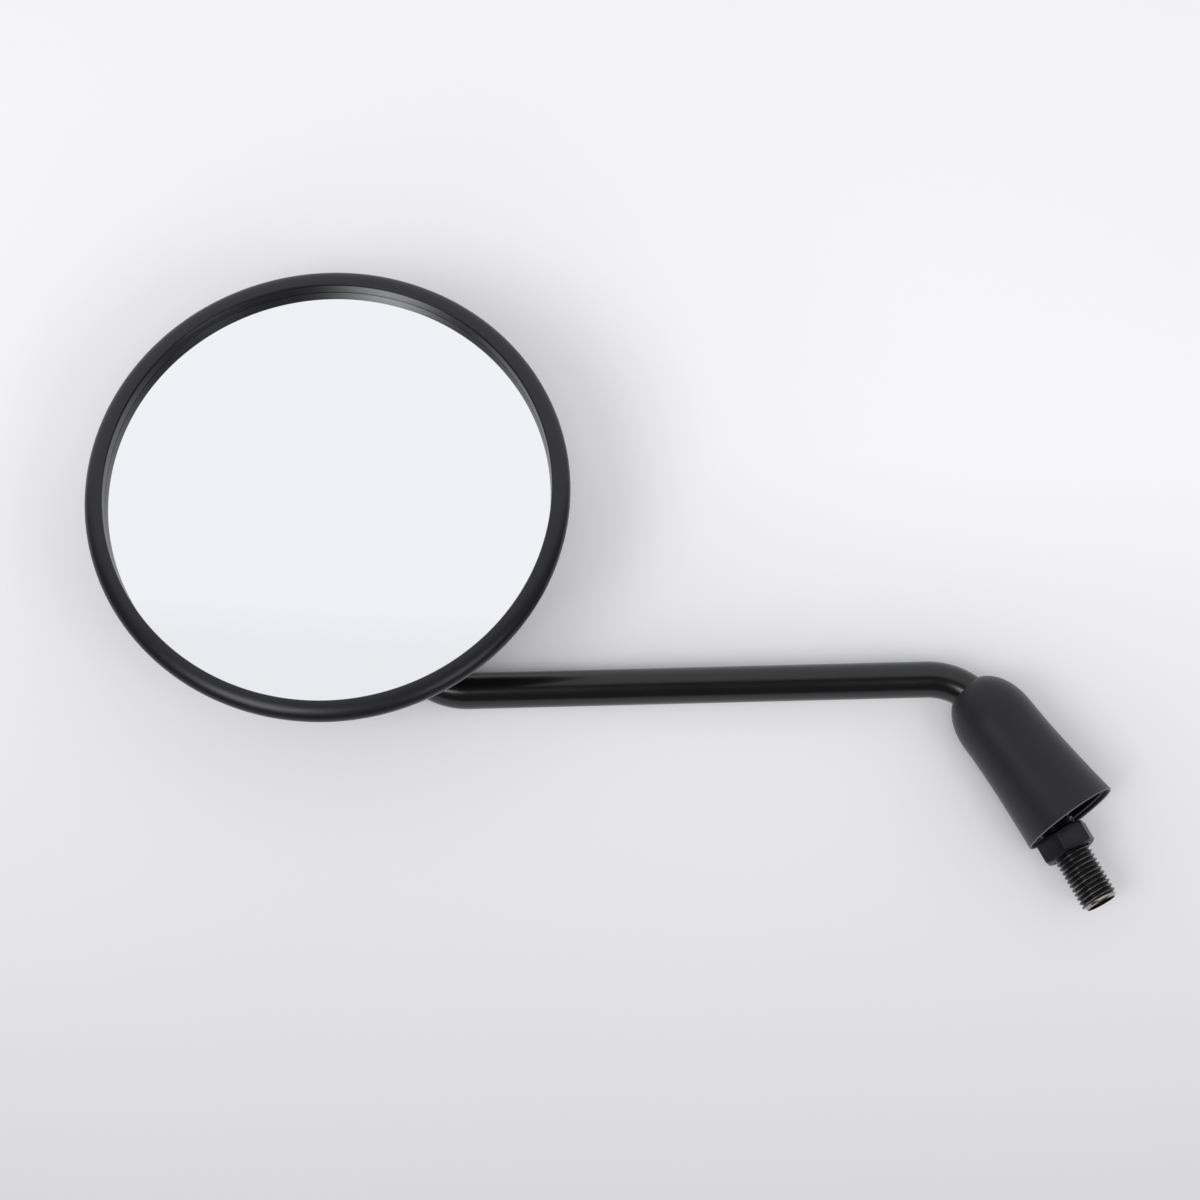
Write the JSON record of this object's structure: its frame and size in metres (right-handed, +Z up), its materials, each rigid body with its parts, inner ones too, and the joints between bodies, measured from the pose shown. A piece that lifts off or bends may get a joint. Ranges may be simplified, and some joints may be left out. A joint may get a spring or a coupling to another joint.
{
  "type": "motorcycle mirror",
  "caption": "Round motorcycle mirror on a bent black stem, with a clamped ball joint behind the head, a rubber boot, a lock nut and a threaded stud.",
  "frame": {"origin": "on the stud's axis, in the plane of the lock nut's lower face, where the stud enters its boss", "axes": "+Z up along the stud's axis into the stem, the glass faces -Y towards the rider, and the arm leans out to -X"},
  "size_m": [0.2098, 0.0556, 0.2387],
  "materials": {
    "satin_black_steel": "satin black powder coat",
    "black_oxide_steel": "black oxide, lightly oiled",
    "ground_steel": "ground and polished",
    "spring_steel": "phosphated spring steel",
    "zinc_plated_steel": "bright zinc plate",
    "natural_nylon": "moulded, dry",
    "black_moulding": "satin moulded",
    "carrier_plastic": "matt moulded",
    "closed_cell_foam": "matt closed cells",
    "silvered_glass": "polished convex mirror glass",
    "gasket_rubber": "matt extruded",
    "boot_rubber": "matt moulded"
  },
  "bodies": {
    "stem": {"stem": "satin_black_steel", "ball": "ground_steel", "circlip": "spring_steel"},
    "lock_nut": {"lock_nut": "black_oxide_steel"},
    "boot": {"boot": "boot_rubber"},
    "rear_liner": {"rear_liner": "natural_nylon"},
    "front_liner": {"front_liner": "natural_nylon"},
    "head": {"clamp_plate": "zinc_plated_steel", "clamp_screw_1": "zinc_plated_steel", "clamp_screw_2": "zinc_plated_steel", "clamp_screw_3": "zinc_plated_steel", "spring_washer_1": "spring_steel", "spring_washer_2": "spring_steel", "spring_washer_3": "spring_steel", "shell": "black_moulding", "carrier_plate": "carrier_plastic", "foam_pad": "closed_cell_foam", "mirror_glass": "silvered_glass", "glass_gasket": "gasket_rubber", "bezel": "black_moulding"}
  },
  "joints": [
    {"name": "nut_turn", "type": "hinge", "parent": "stem", "child": "lock_nut", "pos_m": [0, 0, 0], "axis": [0, 0, 1], "continuous": true},
    {"name": "boot_slip", "type": "hinge", "parent": "stem", "child": "boot", "pos_m": [-0.0175, 0, 0.0424], "axis": [0, 1, 0], "range_deg": [0, 7.1]},
    {"name": "head_tilt", "type": "hinge", "parent": "stem", "child": "rear_liner", "pos_m": [-0.13083, -0.024, 0.16225], "axis": [1, 0, 0], "range_deg": [-12, 12]},
    {"name": "head_turn", "type": "hinge", "parent": "rear_liner", "child": "front_liner", "pos_m": [-0.13083, -0.024, 0.16225], "axis": [0, 0, 1], "range_deg": [-12, 12]},
    {"name": "head_spin", "type": "hinge", "parent": "front_liner", "child": "head", "pos_m": [-0.13083, -0.024, 0.16225], "axis": [0, 1, 0], "continuous": true}
  ]
}
